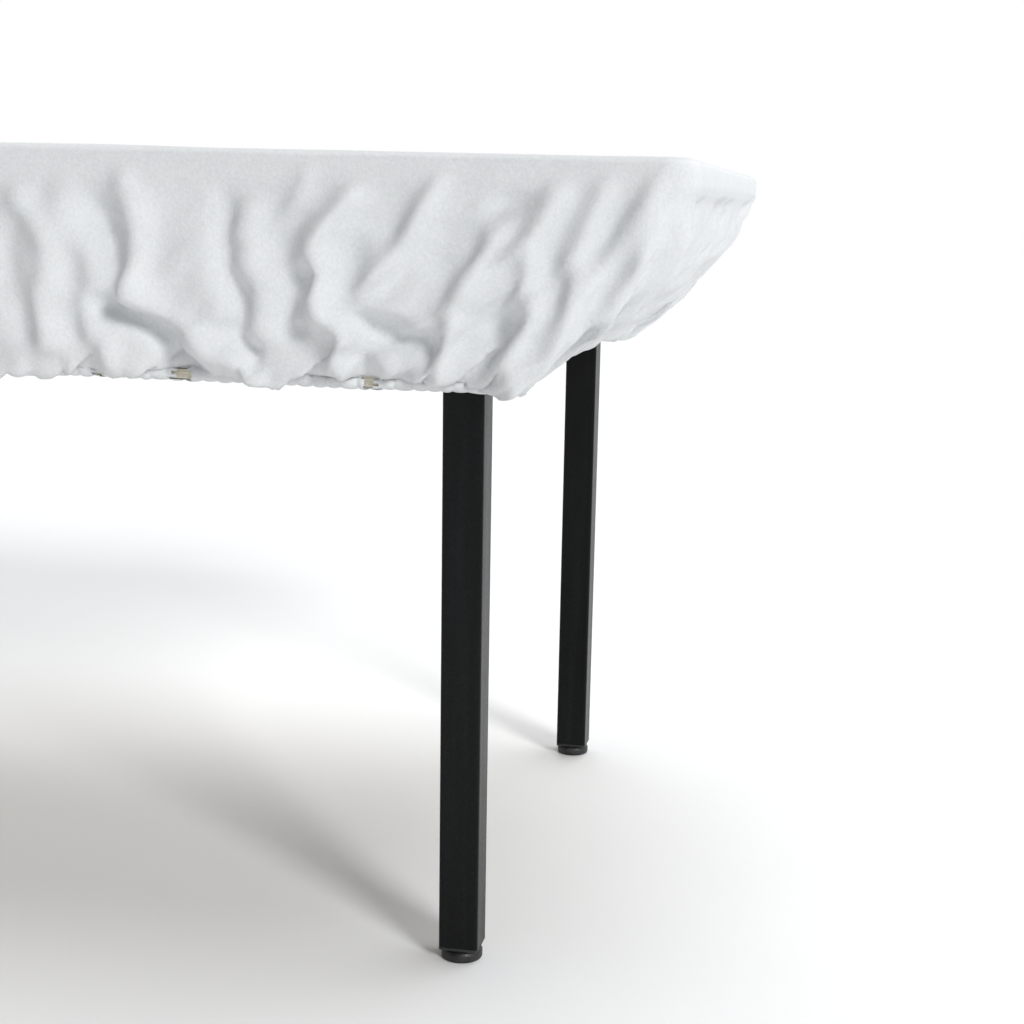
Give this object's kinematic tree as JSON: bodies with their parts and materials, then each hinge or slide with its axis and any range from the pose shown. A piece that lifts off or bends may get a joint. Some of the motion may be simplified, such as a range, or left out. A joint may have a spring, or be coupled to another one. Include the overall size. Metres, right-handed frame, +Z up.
{
  "type": "table with fitted elastic cloth",
  "caption": "Rectangular steel-legged table wearing a white fitted cloth whose elastic hem draws in round the legs.",
  "frame": {"origin": "on the floor, under the centre of the tabletop", "axes": "+Z up, +X along the table's length, -Y towards the front"},
  "size_m": [1.5276, 0.7656, 0.7458],
  "materials": {
    "cloth": "matte, brushed",
    "elastic": "matte, ribbed",
    "board": "matte particle board",
    "edge_band": "matte",
    "steel_black": "satin powder coat",
    "zinc": "zinc plated",
    "plastic_black": "matte"
  },
  "bodies": {
    "table": {"cloth_top": "cloth", "cloth_skirt_front": "cloth", "cloth_skirt_back": "cloth", "cloth_skirt_left": "cloth", "cloth_skirt_right": "cloth", "hem_casing": "cloth", "elastic_band": "elastic", "tabletop_board": "board", "tabletop_edge_band": "edge_band", "rail_front": "steel_black", "rail_back": "steel_black", "rail_left": "steel_black", "rail_right": "steel_black", "rail_centre": "steel_black", "leg_front_left": "steel_black", "corner_plate_front_left": "steel_black", "screw_front_left_a": "zinc", "screw_front_left_b": "zinc", "screw_front_left_c": "zinc", "leg_plug_front_left": "plastic_black", "leg_front_right": "steel_black", "corner_plate_front_right": "steel_black", "screw_front_right_a": "zinc", "screw_front_right_b": "zinc", "screw_front_right_c": "zinc", "leg_plug_front_right": "plastic_black", "leg_back_left": "steel_black", "corner_plate_back_left": "steel_black", "screw_back_left_a": "zinc", "screw_back_left_b": "zinc", "screw_back_left_c": "zinc", "leg_plug_back_left": "plastic_black", "leg_back_right": "steel_black", "corner_plate_back_right": "steel_black", "screw_back_right_a": "zinc", "screw_back_right_b": "zinc", "screw_back_right_c": "zinc", "leg_plug_back_right": "plastic_black"},
    "stud_front_left": {"foot_stud_front_left": "zinc"},
    "foot_front_left": {"foot_base_front_left": "plastic_black"},
    "stud_front_right": {"foot_stud_front_right": "zinc"},
    "foot_front_right": {"foot_base_front_right": "plastic_black"},
    "stud_back_left": {"foot_stud_back_left": "zinc"},
    "foot_back_left": {"foot_base_back_left": "plastic_black"},
    "stud_back_right": {"foot_stud_back_right": "zinc"},
    "foot_back_right": {"foot_base_back_right": "plastic_black"}
  },
  "joints": [
    {"name": "foot_height_front_left", "type": "slide", "parent": "table", "child": "stud_front_left", "axis": [0, 0, -1], "range_m": [0, 0.015]},
    {"name": "foot_turn_front_left", "type": "hinge", "parent": "stud_front_left", "child": "foot_front_left", "pos_m": [-0.563, -0.315, 0], "axis": [0, 0, 1], "range_deg": [0, 4320]},
    {"name": "foot_height_front_right", "type": "slide", "parent": "table", "child": "stud_front_right", "axis": [0, 0, -1], "range_m": [0, 0.015]},
    {"name": "foot_turn_front_right", "type": "hinge", "parent": "stud_front_right", "child": "foot_front_right", "pos_m": [0.563, -0.315, 0], "axis": [0, 0, 1], "range_deg": [0, 4320]},
    {"name": "foot_height_back_left", "type": "slide", "parent": "table", "child": "stud_back_left", "axis": [0, 0, -1], "range_m": [0, 0.015]},
    {"name": "foot_turn_back_left", "type": "hinge", "parent": "stud_back_left", "child": "foot_back_left", "pos_m": [-0.563, 0.315, 0], "axis": [0, 0, 1], "range_deg": [0, 4320]},
    {"name": "foot_height_back_right", "type": "slide", "parent": "table", "child": "stud_back_right", "axis": [0, 0, -1], "range_m": [0, 0.015]},
    {"name": "foot_turn_back_right", "type": "hinge", "parent": "stud_back_right", "child": "foot_back_right", "pos_m": [0.563, 0.315, 0], "axis": [0, 0, 1], "range_deg": [0, 4320]}
  ],
  "couplings": [
    {"joint": "foot_height_front_left", "follows": "foot_turn_front_left", "m_per_rad": 0.00019894},
    {"joint": "foot_height_front_right", "follows": "foot_turn_front_right", "m_per_rad": 0.00019894},
    {"joint": "foot_height_back_left", "follows": "foot_turn_back_left", "m_per_rad": 0.00019894},
    {"joint": "foot_height_back_right", "follows": "foot_turn_back_right", "m_per_rad": 0.00019894}
  ]
}
